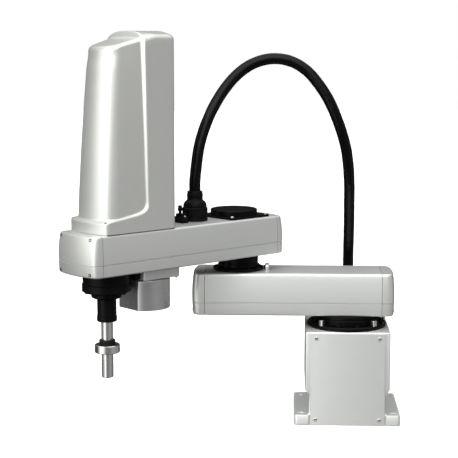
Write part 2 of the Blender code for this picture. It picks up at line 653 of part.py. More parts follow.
def main():
    for item in list(bpy.data.objects):
        bpy.data.objects.remove(item, do_unlink=True)

    paint = make_material("silver_paint", (0.58, 0.59, 0.57), 0.32, 0.25)
    cap_paint = make_material("silver_cap", (0.60, 0.61, 0.59), 0.30, 0.25)
    black = make_material("black_coat", (0.012, 0.012, 0.013), 0.35)
    grey = make_material("grey_paint", (0.30, 0.31, 0.31), 0.40, 0.2)
    steel = make_material("bright_steel", (0.62, 0.62, 0.61), 0.22, 1.0)
    rubber = make_material("black_rubber", (0.010, 0.010, 0.011), 0.30)

    base = add_body("base")
    arm1 = add_body("arm1", base, heading=ARM1_HEADING)
    arm2 = add_body("arm2", arm1, x=ARM1_LENGTH, heading=ARM2_SWING)
    carriage = add_body("z_carriage", arm2)
    screw = add_body("screw_spindle", arm2, SCREW_X, SCREW_Y)
    z_motor_shaft = add_body("z_motor_shaft", arm2, Z_MOTOR_X, Z_MOTOR_Y)
    r_motor_shaft = add_body("r_motor_shaft", arm2, R_MOTOR_X)
    nut = add_body("nut_spindle", arm2, ARM2_LENGTH)
    tool = add_body("tool_spindle", carriage, ARM2_LENGTH)

    build_base(base, paint, black, steel)
    build_arm1(arm1, paint, cap_paint, black, steel)
    build_arm2(arm2, paint, cap_paint, black, grey, steel)
    build_carriage(carriage, grey, steel)
    build_spindles(screw, z_motor_shaft, r_motor_shaft, nut, black, steel)
    build_tool_shaft(tool, steel, rubber)
    build_hose(base, rubber)


main()
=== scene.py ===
"""Looks of the four-axis SCARA robot arm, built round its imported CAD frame.

Meshes are drawn in millimetres in the frame of the body they belong to: x runs
along the arm from its joint axis, y is sideways and z is the height above the
floor. A seat's matrix turns them into the row frame. Sizes come from the CAD nodes
where one is there; the rest are the named numbers of each section.
"""
import json
import math

import bmesh
import bpy
from mathutils import Matrix, Vector, noise
from mathutils.bvhtree import BVHTree


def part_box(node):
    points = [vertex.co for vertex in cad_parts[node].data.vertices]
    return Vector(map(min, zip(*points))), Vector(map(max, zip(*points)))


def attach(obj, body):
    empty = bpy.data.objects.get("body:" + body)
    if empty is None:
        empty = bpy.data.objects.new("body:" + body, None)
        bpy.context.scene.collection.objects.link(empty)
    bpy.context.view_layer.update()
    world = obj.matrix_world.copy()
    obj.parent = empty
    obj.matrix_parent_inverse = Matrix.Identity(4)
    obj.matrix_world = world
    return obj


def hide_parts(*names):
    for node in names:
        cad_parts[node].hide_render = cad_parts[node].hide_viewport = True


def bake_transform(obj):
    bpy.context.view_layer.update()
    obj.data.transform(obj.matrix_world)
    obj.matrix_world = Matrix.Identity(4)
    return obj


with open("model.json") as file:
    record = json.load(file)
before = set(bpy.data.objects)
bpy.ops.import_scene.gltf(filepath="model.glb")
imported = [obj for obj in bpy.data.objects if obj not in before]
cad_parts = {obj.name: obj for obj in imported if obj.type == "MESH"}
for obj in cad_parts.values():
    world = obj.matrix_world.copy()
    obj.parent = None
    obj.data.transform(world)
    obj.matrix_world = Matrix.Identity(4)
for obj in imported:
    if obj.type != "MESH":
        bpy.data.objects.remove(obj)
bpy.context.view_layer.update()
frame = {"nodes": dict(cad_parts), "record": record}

MM = 0.001


# --------------------------------------------------------- places in the CAD

def lowest(node):
    """A CAD node's lowest corner in millimetres."""
    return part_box(node)[0] / MM


def highest(node):
    """A CAD node's highest corner in millimetres."""
    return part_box(node)[1] / MM


def middle(node):
    """The centre of a CAD node's box in millimetres."""
    return (lowest(node) + highest(node)) / 2


def span(node):
    """A CAD node's size in millimetres."""
    return highest(node) - lowest(node)


ELBOW = middle("j2_reducer")
TOOL = middle("tool_shaft")
ARM1_HEADING = math.atan2(ELBOW.y, ELBOW.x)
ARM2_HEADING = math.atan2(TOOL.y - ELBOW.y, TOOL.x - ELBOW.x)

IN_METRES = Matrix.Scale(MM, 4)
BASE = IN_METRES
ARM1 = Matrix.Rotation(ARM1_HEADING, 4, "Z") @ IN_METRES
ARM2 = (Matrix.Translation((ELBOW.x * MM, ELBOW.y * MM, 0.0))
        @ Matrix.Rotation(ARM2_HEADING, 4, "Z") @ IN_METRES)
TOOL_AXIS = (Matrix.Translation((TOOL.x * MM, TOOL.y * MM, 0.0))
             @ Matrix.Rotation(ARM2_HEADING, 4, "Z") @ IN_METRES)

# A seat is the place a mesh is drawn in and the body it rides on.
ON_BASE = (BASE, "base")
ON_ARM1 = (ARM1, "arm1")
ON_ARM2 = (ARM2, "arm2")
ON_NUT = (TOOL_AXIS, "nut_spindle")
ON_TOOL = (TOOL_AXIS, "tool_spindle")


def local_box(node, place):
    """A CAD node's lowest and highest corners in an arm's own frame."""
    inverse = place.inverted()
    corners = [inverse @ vertex.co for vertex in frame["nodes"][node].data.vertices]
    return (Vector([min(c[k] for c in corners) for k in range(3)]),
            Vector([max(c[k] for c in corners) for k in range(3)]))


def round_box(node, place):
    """A round CAD node's lowest and highest corners, its centre in x and its radius."""
    low, high = local_box(node, place)
    return low, high, (low.x + high.x) / 2, (high.x - low.x) / 2


# ----------------------------------------------------------------- materials

def new_material(name):
    """A material, its shader and a helper that adds and wires nodes."""
    material = bpy.data.materials.new(name)
    material.use_nodes = True
    tree = material.node_tree
    return material, tree, tree.nodes["Principled BSDF"]


def add(tree, kind, **values):
    """A shader node with its properties and sockets set by name."""
    node = tree.nodes.new(kind)
    for key, value in values.items():
        if hasattr(node, key):
            setattr(node, key, value)
        else:
            node.inputs[key.replace("_", " ")].default_value = value
    return node


def surface(name, colour, roughness, metallic=0.0, grain=1.2, stretch=(1.0, 1.0, 1.0),
            spread=0.04, rough_spread=0.10, bump=0.03, specular=0.5, unit=1.0, attribute=None):
    """A finish with fine grain, cloudy gloss and a faint relief.

    grain is the number of noise cells in a millimetre, stretch squeezes them along
    each axis, and unit turns the object's own units into millimetres.
    """
    material, tree, shader = new_material(name)
    link = tree.links.new
    if attribute:
        source = add(tree, "ShaderNodeAttribute", attribute_name=attribute).outputs["Vector"]
    else:
        source = add(tree, "ShaderNodeTexCoord").outputs["Object"]
    mapping = add(tree, "ShaderNodeMapping", Scale=[unit * s for s in stretch])
    link(source, mapping.inputs["Vector"])
    fine = add(tree, "ShaderNodeTexNoise", Scale=grain, Detail=3.0, Roughness=0.6)
    cloudy = add(tree, "ShaderNodeTexNoise", Scale=grain * 0.03, Detail=2.0)
    for texture in (fine, cloudy):
        link(mapping.outputs["Vector"], texture.inputs["Vector"])

    tint = add(tree, "ShaderNodeMix", data_type="RGBA")
    mixed = add(tree, "ShaderNodeMath", operation="ADD")
    halved = add(tree, "ShaderNodeMath", operation="MULTIPLY")
    halved.inputs[1].default_value = 0.5
    link(fine.outputs["Fac"], mixed.inputs[0])
    link(cloudy.outputs["Fac"], mixed.inputs[1])
    link(mixed.outputs[0], halved.inputs[0])
    link(halved.outputs[0], tint.inputs["Factor"])
    tint.inputs[6].default_value = (*[c * (1 - spread) for c in colour], 1.0)
    tint.inputs[7].default_value = (*[min(1.0, c * (1 + spread)) for c in colour], 1.0)
    link(tint.outputs[2], shader.inputs["Base Color"])

    gloss = add(tree, "ShaderNodeMapRange")
    gloss.inputs["To Min"].default_value = roughness * (1 - rough_spread)
    gloss.inputs["To Max"].default_value = roughness * (1 + rough_spread)
    link(halved.outputs[0], gloss.inputs["Value"])
    link(gloss.outputs["Result"], shader.inputs["Roughness"])

    relief = add(tree, "ShaderNodeBump", Strength=bump, Distance=MM)
    link(fine.outputs["Fac"], relief.inputs["Height"])
    link(relief.outputs["Normal"], shader.inputs["Normal"])
    shader.inputs["Metallic"].default_value = metallic
    shader.inputs["Specular IOR Level"].default_value = specular
    return material


FINISHES = {
    "silver_paint": dict(colour=(0.56, 0.57, 0.555), roughness=0.42, metallic=0.55, grain=1.6),
    "silver_cap": dict(colour=(0.56, 0.57, 0.545), roughness=0.36, metallic=0.65, grain=1.8),
    "anodised": dict(colour=(0.57, 0.58, 0.565), roughness=0.38, metallic=0.65, grain=1.4,
                     stretch=(0.03, 1.0, 1.0), spread=0.05, bump=0.05),
    "grey_paint": dict(colour=(0.42, 0.425, 0.42), roughness=0.28, metallic=0.85, grain=1.6),
    "black_coat": dict(colour=(0.003, 0.003, 0.0032), roughness=0.26, grain=1.6, spread=0.25,
                       bump=0.06, specular=0.06),
    "black_plastic": dict(colour=(0.004, 0.004, 0.0042), roughness=0.38, grain=2.4, spread=0.2,
                          bump=0.10, specular=0.06),
    "bright_steel": dict(colour=(0.62, 0.62, 0.61), roughness=0.22, metallic=1.0, grain=1.5,
                         stretch=(0.2, 0.2, 4.0), spread=0.06, rough_spread=0.25, bump=0.02),
    "black_rubber": dict(colour=(0.009, 0.009, 0.009), roughness=0.55, grain=3.0, spread=0.2,
                         bump=0.12, specular=0.08),
    "hose_black": dict(colour=(0.002, 0.002, 0.0022), roughness=0.12, grain=0.35,
                       stretch=(1.0, 1.0, 0.35), spread=0.3, rough_spread=0.35, bump=0.5,
                       specular=0.11, attribute="tube"),
}
made_materials = {}


def finish(name, unit=1.0):
    """The named finish; CAD nodes are in metres, so theirs has unit=1000."""
    key = name if unit == 1.0 else f"{name}_cad"
    if key not in made_materials:
        made_materials[key] = surface(key, unit=unit, **FINISHES[name])
    return made_materials[key]


# -------------------------------------------------------------------- meshes

def arc(cx, cy, radius, start, end, steps):
    """Points on an arc, with both ends, angles in degrees."""
    angles = [math.radians(start + (end - start) * i / steps) for i in range(steps + 1)]
    return [(cx + radius * math.cos(a), cy + radius * math.sin(a)) for a in angles]


def rounded_rectangle(x0, x1, y0, y1, radius, steps=6):
    """Counter-clockwise outline of a rectangle with round corners."""
    return (arc(x1 - radius, y0 + radius, radius, -90, 0, steps)
            + arc(x1 - radius, y1 - radius, radius, 0, 90, steps)
            + arc(x0 + radius, y1 - radius, radius, 90, 180, steps)
            + arc(x0 + radius, y0 + radius, radius, 180, 270, steps))


def ring(radius, z, segments=64, cx=0.0, cy=0.0):
    """A circle of points about a vertical axis."""
    turn = 2 * math.pi / segments
    return [(cx + radius * math.cos(i * turn), cy + radius * math.sin(i * turn), z)
            for i in range(segments)]


def hexagon(across, z, segments=24):
    """A hexagon with points along its sides, to join to a ring of as many points."""
    points = []
    for i in range(segments):
        angle = 2 * math.pi * i / segments
        off_middle = (angle % (math.pi / 3)) - math.pi / 6
        radius = across / 2 / math.cos(off_middle)
        points.append((radius * math.cos(angle), radius * math.sin(angle), z))
    return points


def loft(rings, caps=True, closed=False):
    """Skin through rings of equal length; closed joins the last ring to the first."""
    bm = bmesh.new()
    loops = [[bm.verts.new(point) for point in points] for points in rings]
    pairs = list(zip(loops, loops[1:]))
    if closed:
        pairs.append((loops[-1], loops[0]))
    for lower, upper in pairs:
        for i in range(len(lower)):
            j = (i + 1) % len(lower)
            bm.faces.new((lower[i], lower[j], upper[j], upper[i]))
    if caps and not closed:
        bm.faces.new(list(reversed(loops[0])))
        bm.faces.new(loops[-1])
    bmesh.ops.recalc_face_normals(bm, faces=bm.faces)
    return bm


def prism(outline, z0, z1):
    """The outline extruded upwards."""
    return loft([[(x, y, z) for x, y in outline] for z in (z0, z1)])


def block(x0, x1, y0, y1, z0, z1, radius=1.0):
    """A block with round upright corners."""
    return prism(rounded_rectangle(x0, x1, y0, y1, radius, 3), z0, z1)


def turned(profile, segments=64, cx=0.0, cy=0.0):
    """A solid of revolution from (radius, z) points, bottom to top."""
    return loft([ring(radius, z, segments, cx, cy) for radius, z in profile])


def turned_ring(profile, segments=64, cx=0.0, cy=0.0):
    """A ring of revolution from a closed loop of (radius, z) points."""
    return loft([ring(radius, z, segments, cx, cy) for radius, z in profile], closed=True)


def socket_screw(radius, height, socket=0.55):
    """A cap screw's head with a hexagon socket, standing on z = 0."""
    edge = min(0.35 * height, 0.2 * radius)
    across = 2 * radius * socket
    return loft([ring(radius, 0.0, 24), ring(radius, height - edge, 24),
                 ring(radius - edge, height, 24), ring(0.5 * across + 0.25 * radius, height, 24),
                 hexagon(across, height - 0.05), hexagon(across, 0.35 * height)])


def hex_head(across, height):
    """A hexagon bolt's head with its chamfered crown, standing on z = 0."""
    return loft([hexagon(across, 0.0), hexagon(across, height - 0.12 * across),
                 ring(0.46 * across, height, 24)])


def facing(place, direction):
    """A matrix that moves a shape from z = 0 to a place, with its +Z along a direction."""
    turn = Vector(direction).to_track_quat("Z", "Y").to_matrix().to_4x4()
    return Matrix.Translation(place) @ turn


def joined(*meshes):
    """Several meshes, each alone or with the matrix that moves it, as one."""
    whole = bmesh.new()
    for item in meshes:
        bm, matrix = item if isinstance(item, tuple) else (item, None)
        if matrix:
            bmesh.ops.transform(bm, matrix=matrix, verts=bm.verts)
        part = bpy.data.meshes.new("part")
        bm.to_mesh(part)
        bm.free()
        whole.from_mesh(part)
        bpy.data.meshes.remove(part)
    return whole


def copies(make, places, direction):
    """One mesh of a shape repeated at several places."""
    return joined(*[(make(), facing(place, direction)) for place in places])


def piece(name, bm, seat, look, replaces=(), bevel=0.0, segments=3, sharp=32.0):
    """Shows a mesh, drawn at its seat's place, as a piece that rides on the seat's body."""
    place, body = seat
    mesh = bpy.data.meshes.new(name)
    bm.to_mesh(mesh)
    bm.free()
    mesh.shade_smooth()
    mesh.set_sharp_from_angle(angle=math.radians(sharp))
    item = bpy.data.objects.new(name, mesh)
    bpy.context.scene.collection.objects.link(item)
    item.matrix_world = place
    mesh.materials.append(finish(look))
    if bevel:
        rounding = item.modifiers.new("edges", "BEVEL")
        rounding.width = bevel
        rounding.segments = segments
        rounding.limit_method = "ANGLE"
        rounding.angle_limit = math.radians(sharp)
        rounding.harden_normals = True
    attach(item, body)
    if replaces:
        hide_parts(*replaces)
    return item


def cut(item, bm):
    """Cuts a shape, drawn in the piece's own frame, out of a piece."""
    mesh = bpy.data.meshes.new("cutter")
    bm.to_mesh(mesh)
    bm.free()
    cutter = bpy.data.objects.new("cutter", mesh)
    bpy.context.scene.collection.objects.link(cutter)
    cutter.matrix_world = item.matrix_world
    modifier = item.modifiers.new("cut", "BOOLEAN")
    modifier.object = cutter
    modifier.solver = "EXACT"
    bpy.context.view_layer.objects.active = item
    while item.modifiers[0] != modifier:
        bpy.ops.object.modifier_move_up(modifier=modifier.name)
    bpy.ops.object.modifier_apply(modifier=modifier.name)
    bpy.data.objects.remove(cutter, do_unlink=True)
    bpy.data.meshes.remove(mesh)


def screw_row(name, radius, height, places, direction, seat, look):
    """Cap screws of one size at several places, as one piece."""
    piece(name, copies(lambda: socket_screw(radius, height), places, direction), seat, look)


# --------------------------------------------------------------- camera, hose

def make_camera():
    """The viewpoint: 100 mm lens, about 2.3 m in front and looking 8 degrees down."""
    data = bpy.data.cameras.new("camera")
    data.lens = 100.0
    data.sensor_width = 36.0
    camera = bpy.data.objects.new("camera", data)
    bpy.context.scene.collection.objects.link(camera)
    camera.location = (-0.1089, -2.3099, 0.6708)
    camera.rotation_euler = (math.pi / 2 - 0.1392, 0.0, 0.0468)
    bpy.context.scene.camera = camera


HOSE_RADIUS = 10.25
HOSE_STEP = 3.5
ARM2_GLAND = middle("arm2_hose_gland")
HOSE_ROUTE = [
    (0.0065, 0.106, 0.1883), (0.0065, 0.106, 0.215), (0.0065, 0.1055, 0.250),
    (0.0065, 0.1015, 0.285), (0.0065, 0.0925, 0.322), (0.006, 0.078, 0.358),
    (0.005, 0.060, 0.392), (0.004, 0.042, 0.425), (0.001, 0.025, 0.460),
    (-0.004, 0.013, 0.493), (-0.013, 0.006, 0.525), (-0.023, 0.004, 0.552),
    (-0.0365, 0.004, 0.582), (-0.0535, 0.005, 0.6085), (-0.074, 0.0065, 0.6325),
    (-0.0955, 0.006, 0.6475), (-0.118, 0.005, 0.6552), (-0.1405, 0.004, 0.6565),
    (-0.1625, 0.0025, 0.6522), (-0.1835, -0.001, 0.6425), (-0.2045, -0.007, 0.626),
    (-0.225, -0.0185, 0.6015), (-0.241, -0.033, 0.575), (-0.253, -0.0465, 0.549),
    (-0.262, -0.0575, 0.523), (-0.268, -0.065, 0.497), (-0.272, -0.070, 0.466),
    (ARM2_GLAND.x * MM, ARM2_GLAND.y * MM, 0.441), (ARM2_GLAND.x * MM, ARM2_GLAND.y * MM, 0.4253),
]
HOSE_SPLIT = 16


def smooth_path(points, step):
    """Points a step apart on a Catmull-Rom curve through the route."""
    points = [Vector(point) for point in points]
    padded = [2 * points[0] - points[1]] + points + [2 * points[-1] - points[-2]]
    fine = []
    for p0, p1, p2, p3 in zip(padded, padded[1:], padded[2:], padded[3:]):
        for k in range(24):
            t = k / 24
            fine.append(0.5 * (2 * p1 + (p2 - p0) * t + (2 * p0 - 5 * p1 + 4 * p2 - p3) * t ** 2
                               + (3 * p1 - p0 - 3 * p2 + p3) * t ** 3))
    fine.append(points[-1])
    total = sum((b - a).length for a, b in zip(fine, fine[1:]))
    count = round(total / step)
    path = [fine[0]]
    walked = 0.0
    for a, b in zip(fine, fine[1:]):
        length = (b - a).length
        while len(path) < count and walked + length >= total * len(path) / count:
            path.append(a.lerp(b, (total * len(path) / count - walked) / length))
        walked += length
    path.append(fine[-1])
    return path


def hose_tube(name, path, start_length, segments=32):
    """A tube along a path in metres, with the wrinkles of a soft glossy cover."""
    rings = []
    marks = []
    tangent = (path[1] - path[0]).normalized()
    side = tangent.orthogonal().normalized()
    walked = start_length
    for index, centre in enumerate(path):
        before = path[max(index - 1, 0)]
        after = path[min(index + 1, len(path) - 1)]
        walked += (centre - before).length / MM
        turned_to = (after - before).normalized()
        side = tangent.rotation_difference(turned_to) @ side
        tangent = turned_to
        other = tangent.cross(side)
        points = []
        for k in range(segments):
            angle = 2 * math.pi * k / segments
            mark = Vector((HOSE_RADIUS * math.cos(angle), HOSE_RADIUS * math.sin(angle), walked))
            crease = noise.noise(Vector((mark.x * 0.22, mark.y * 0.22, mark.z * 0.06)))
            ripple = noise.noise(Vector((mark.x * 0.10, mark.y * 0.10, mark.z * 0.22 + 40.0)))
            radius = (HOSE_RADIUS - 0.25 + 0.22 * crease + 0.16 * ripple) * MM
            points.append(centre + radius * (math.cos(angle) * side + math.sin(angle) * other))
            marks.append(mark)
        rings.append(points)
    bm = loft(rings)
    mesh = bpy.data.meshes.new(name)
    bm.to_mesh(mesh)
    bm.free()
    mesh.shade_smooth()
    mesh.set_sharp_from_angle(angle=math.radians(60))
    attribute = mesh.attributes.new("tube", "FLOAT_VECTOR", "POINT")
    for entry, mark in zip(attribute.data, marks):
        entry.vector = mark
    hose = bpy.data.objects.new(name, mesh)
    bpy.context.scene.collection.objects.link(hose)
    mesh.materials.append(finish("hose_black"))
    return hose, walked


def build_hose():
    """The cable hose in two lengths, split at one point of its route."""
    whole = smooth_path(HOSE_ROUTE, HOSE_STEP * MM)
    split_at = Vector(HOSE_ROUTE[HOSE_SPLIT])
    nearest = min(range(len(whole)), key=lambda i: (whole[i] - split_at).length)
    lengths = (("hose_lower", whole[:nearest + 1], "base", "arm1", 7, 12),
               ("hose_upper", whole[nearest:], "arm1", "arm2", 18, 23))
    walked = 0.0
    for name, path, body, next_body, first, last in lengths:
        hose, walked = hose_tube(name, path, walked)
        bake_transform(hose)
        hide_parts("harness_hose")


# ----------------------------------------------------------------- arm shells

ARM_WALL = 6.0
ARM_EDGE = 3.0
TOP_EDGE = 4.5
CROWN = 2.4
GROOVE_RATIO = 0.30
GROOVE_HALF_HEIGHT = 1.2
GROOVE_DEPTH = 1.4
SEAM_GAP = 0.7
CAP_BULGE = 1.5
CAP_SCREW_RADIUS = 2.9
CAP_SCREW_HEIGHT = 2.0
CAP_SCREW_SUNK = 1.4


def arm_levels(bottom, height):
    """(z, inset) levels up an arm's side: foot, groove, crowned side and round top edge."""
    groove = bottom + GROOVE_RATIO * height
    top = bottom + height
    levels = [(z, inset) for inset, z in arc(ARM_EDGE, bottom + ARM_EDGE, ARM_EDGE, 270, 180, 5)]
    levels += [(groove - GROOVE_HALF_HEIGHT, 0.0), (groove - 0.5, GROOVE_DEPTH),
               (groove + 0.5, GROOVE_DEPTH), (groove + GROOVE_HALF_HEIGHT, 0.0)]
    start = groove + GROOVE_HALF_HEIGHT
    side = top - TOP_EDGE - start
    for i in range(1, 9):
        share = i / 8
        levels.append((start + share * side, CROWN * share ** 2))
    lean = math.degrees(math.atan(2 * CROWN / side))
    crowned = arc(CROWN + TOP_EDGE * math.cos(math.radians(lean)), top - TOP_EDGE, TOP_EDGE,
                  180 - lean, 90, 6)
    levels += [(z, inset) for inset, z in crowned[1:]]
    return levels


def arm_profile(rear, front, half, levels):
    """The extruded tube of an arm, drawn as a ring section along x."""
    right = [(half - inset, z) for z, inset in levels]
    section = right + [(-y, z) for y, z in reversed(right)]
    bottom, top = levels[0][0], levels[-1][0]
    inner_half = half - ARM_WALL
    inner = []
    for y, z in section:
        side = max(-inner_half, min(inner_half, y))
        inner.append((side, max(bottom + ARM_WALL, min(top - ARM_WALL, z))))
    bm = bmesh.new()
    loops = [[bm.verts.new((x, y, z)) for y, z in outline]
             for x, outline in ((rear, section), (front, section), (front, inner), (rear, inner))]
    for lower, upper in zip(loops, loops[1:] + loops[:1]):
        for i in range(len(lower)):
            j = (i + 1) % len(lower)
            bm.faces.new((lower[i], lower[j], upper[j], upper[i]))
    bmesh.ops.remove_doubles(bm, verts=bm.verts, dist=0.01)
    bmesh.ops.recalc_face_normals(bm, faces=bm.faces)
    return bm


def arm_cap(seam, thickness, half, levels, direction, corner, crown):
    """An end cap: tight upright corners, a crowned face and edges that roll over."""
    bottom, top = levels[0][0], levels[-1][0]
    turn = math.radians(crown)
    rings = []
    for z, inset in levels:
        height = (z - bottom) / (top - bottom) * 2 - 1
        reach = seam + thickness - CAP_BULGE * height ** 2 - 0.75 * inset
        side = half - inset
        radius = corner - 0.4 * inset
        edge = side - radius + radius * math.sin(turn)
        bow = edge * math.tan(turn) / 2
        centre = reach - bow - radius * math.cos(turn)
        outline = [(seam, -side)]
        outline += arc(centre, -side + radius, radius, -90, -crown, 9)
        for i in range(1, 16):
            y = -edge * (1 - i / 8)
            outline.append((reach - bow * (y / edge) ** 2, y))
        outline += arc(centre, side - radius, radius, crown, 90, 9)
        outline.append((seam, side))
        rings.append([(direction * x, y * direction, z) for x, y in outline])
    return loft(rings)


def build_arm_shell(name, place, cap_screws, extra, corner, crown):
    """An arm's extruded profile with both end caps and their screws.

    cap_screws is their distance from the middle and from the top and bottom, extra is
    how far the caps bow out past the CAD ones, and crown is the bow's edge angle.
    """
    profile = f"{name}_profile"
    low, high = local_box(profile, place)
    levels = arm_levels(low.z, high.z - low.z)
    thickness = local_box(f"{name}_front_cap", place)[1].x - high.x - SEAM_GAP + extra
    piece(profile + "_skin", arm_profile(low.x, high.x, high.y, levels), (place, name),
          "anodised", [profile], sharp=24)
    for end, direction, seam in (("front", 1, high.x), ("rear", -1, -low.x)):
        cap = arm_cap(seam + SEAM_GAP, thickness, high.y, levels, direction, corner, crown)
        surface_tree = BVHTree.FromBMesh(cap)
        across, margin = cap_screws
        screws = []
        for y in (-across, across):
            for z in (low.z + margin, high.z - margin):
                start = Vector((direction * (seam + 2 * thickness), y, z))
                hit, normal = surface_tree.ray_cast(start, Vector((-direction, 0, 0)))[:2]
                screws.append((socket_screw(CAP_SCREW_RADIUS, CAP_SCREW_HEIGHT),
                               facing(hit - normal * CAP_SCREW_SUNK, normal)))
        piece(f"{name}_{end}_cap_skin", cap, (place, name), "silver_cap",
              replaces=[f"{name}_{end}_cap"], sharp=28)
        piece(f"{name}_{end}_cap_screws", joined(*screws), (place, name), "black_rubber")


# -------------------------------------------------------------------- Z cover

# Pairs are (at the foot of the nose, at its top); the nose is the slimmer front.
COVER_WALL = 2.5
COVER_SKIRT = 17.0
SKIRT_CROWN = 7.5
COVER_STEP = (250.5, 255.8)
STEP_FOOT, STEP_RISE = 424.0, 270.0
NOSE_FRONT = (336.5, 316.0)
NOSE_HALF = (48.3, 39.6)
NOSE_STEP_HALF = (47.8, 45.6)
NOSE_FOOT, NOSE_RISE = 392.0, 290.0
NOSE_LEAN = 1.3
NOSE_CORNER = 23.0
NOSE_CROWN = 18.0
NOSE_TOP = 680.0
NOSE_TOP_FRONT = 304.0
NOSE_TOP_SLOPE = 0.2885
LEDGE = 5.0
LEDGE_CORNER = 12.0
REAR_TOP = 704.0
COVER_EDGE = 7.0
EDGE_STEPS = 7
SIDE_TOP = 640.0
ROOF_PLAN = 690.0
COVER_SCREW_FRONT, COVER_SCREW_SIDE = 334.0, 46.0


def smoothstep(value):
    """0 below 0, 1 above 1 and an S curve between."""
    value = max(0.0, min(1.0, value))
    return value * value * (3 - 2 * value)


def mix(a, b, share):
    """The value that share of the way from a to b."""
    return a + (b - a) * share


def cover_outline(rear, front, half_step, half_front, corner, inset):
    """Half the cover's outline from the rear middle round one side to the front middle."""
    back = rear + inset
    tight = 5.0
    wide = max(corner - inset, 1.0)
    step_half, front_half = half_step - inset, half_front - inset
    turn = math.radians(NOSE_CROWN)
    edge = front_half - wide + wide * math.sin(turn)
    crown = edge * math.tan(turn) / 2
    centre = front - inset - crown - wide * math.cos(turn)
    points = [(back, (step_half - tight) * i / 4) for i in range(4)]
    points += [(x, y) for x, y in arc(back + tight, step_half - tight, tight, 180, 90, 5)]
    stretches = ((back + tight, 244.0, 7), (244.0, 264.0, 22), (264.0, centre, 10))
    for start, end, steps in stretches:
        for i in range(1, steps + 1):
            x = mix(start, end, i / steps)
            share = max(0.0, (x - COVER_STEP[0]) / (centre - COVER_STEP[0]))
            points.append((x, mix(step_half, front_half, share)))
    points += arc(centre, front_half - wide, wide, 90, NOSE_CROWN, 10)[1:]
    for i in range(1, 9):
        y = edge * (1 - i / 8)
        points.append((front - inset - crown * (y / edge) ** 2, y))
    return points


def nose_share(x, z, bottom):
    """1 in the slimmer nose of the cover and 0 on its full-width rear and skirt."""
    ledge_front = bottom + COVER_SKIRT + 3.2
    rise = ledge_front + max(0.0, 337.0 - x) * 0.14 + 4.0 * max(0.0, (280.0 - x) / 30.0) ** 2
    ridge = mix(*COVER_STEP, (z - STEP_FOOT) / STEP_RISE)
    above, ahead = z - rise, x - ridge
    blend = max(LEDGE_CORNER - abs(above - ahead), 0.0) / LEDGE_CORNER
    inside = min(above, ahead) - blend * blend * LEDGE_CORNER / 4
    return smoothstep(inside / LEDGE + 0.5)


def cover_top(x, y, half):
    """Height of the cover's top: a crowned rear and a lower sloping nose."""
    corner = smoothstep((x - 232.0) / 22.0) * 5.0 * (y / half) ** 4
    rear_top = REAR_TOP - 8.0 * abs(y / half) ** 2.5 - corner
    nose_top = NOSE_TOP + NOSE_TOP_SLOPE * (NOSE_TOP_FRONT - x) - 3.0 * (y / half) ** 2
    return mix(rear_top, nose_top, smoothstep((x - COVER_STEP[1]) / LEDGE + 0.5))


def cover_ring(z, low, high, inset):
    """One ring of (x, y, nose share) round the cover at height z, drawn in by inset."""
    rise = max(0.0, min(1.0, (z - NOSE_FOOT) / NOSE_RISE)) ** NOSE_LEAN
    full = cover_outline(low.x, high.x + SKIRT_CROWN, high.y, high.y, 8.0, inset)
    nose = cover_outline(low.x, mix(*NOSE_FRONT, rise), mix(*NOSE_STEP_HALF, rise),
                         mix(*NOSE_HALF, rise), NOSE_CORNER, inset)
    half_ring = []
    for (x0, y0), (x1, y1) in zip(full, nose):
        share = nose_share((x0 + x1) / 2, z, low.z)
        half_ring.append((mix(x0, x1, share), mix(y0, y1, share)))
    return half_ring + [(x, -y) for x, y in reversed(half_ring[1:-1])]


def build_z_cover():
    """The tall cover: a full-width rear and skirt, and a slimmer nose between them."""
    low, high = local_box("z_cover", ARM2)
    half = high.y
    heights = [low.z, low.z + 1.0]
    while heights[-1] < SIDE_TOP:
        z = heights[-1]
        heights.append(z + (1.0 if 384.0 < z < 414.0 else 3.0 if z < 440.0 else 8.0))
    rings = [[(x, y, z) for x, y in cover_ring(z, low, high, 0.0)] for z in heights]
    start = heights[-1]
    for i in range(1, 7):
        plan = cover_ring(mix(start, ROOF_PLAN, i / 6), low, high, 0.0)
        rings.append([(x, y, mix(start, cover_top(x, y, half) - COVER_EDGE, i / 6))
                      for x, y in plan])
    for i in range(1, EDGE_STEPS + 1):
        angle = math.pi / 2 * i / EDGE_STEPS
        plan = cover_ring(ROOF_PLAN, low, high, COVER_EDGE * (1 - math.cos(angle)))
        rise = COVER_EDGE * (1 - math.sin(angle))
        rings.append([(x, y, cover_top(x, y, half) - rise) for x, y in plan])
    rim = [(x, y) for x, y, z in rings[-1]]
    for kept in (0.88, 0.7, 0.5, 0.25, 0.0):
        rings.append([(x, y * kept, cover_top(x, y * kept, half)) for x, y in rim])
    bm = loft(rings, caps=False)
    bmesh.ops.remove_doubles(bm, verts=bm.verts, dist=0.05)
    bmesh.ops.dissolve_degenerate(bm, edges=bm.edges, dist=0.02)
    bmesh.ops.recalc_face_normals(bm, faces=bm.faces)
    tree = BVHTree.FromBMesh(bm)
    cover = piece("z_cover_skin", bm, ON_ARM2, "silver_cap", replaces=["z_cover"], sharp=50)
    wall = cover.modifiers.new("wall", "SOLIDIFY")
    wall.thickness = COVER_WALL
    wall.offset = -1.0
    screws = []
    for side in (-1, 1):
        above = Vector((COVER_SCREW_FRONT, side * COVER_SCREW_SIDE, 460.0))
        hit, normal = tree.ray_cast(above, Vector((0, 0, -1)))[:2]
        screws.append((socket_screw(2.0, 1.6), facing(hit - normal * 1.0, normal)))
    piece("z_cover_screws", joined(*screws), ON_ARM2, "black_coat")


# ----------------------------------------------------------- elbow and arm tops

def bolt_circle(count, radius, z, cx=0.0, cy=0.0, start=0.0):
    """Places evenly spaced round a vertical axis."""
    angles = [math.radians(start) + 2 * math.pi * i / count for i in range(count)]
    return [(cx + radius * math.cos(a), cy + radius * math.sin(a), z) for a in angles]


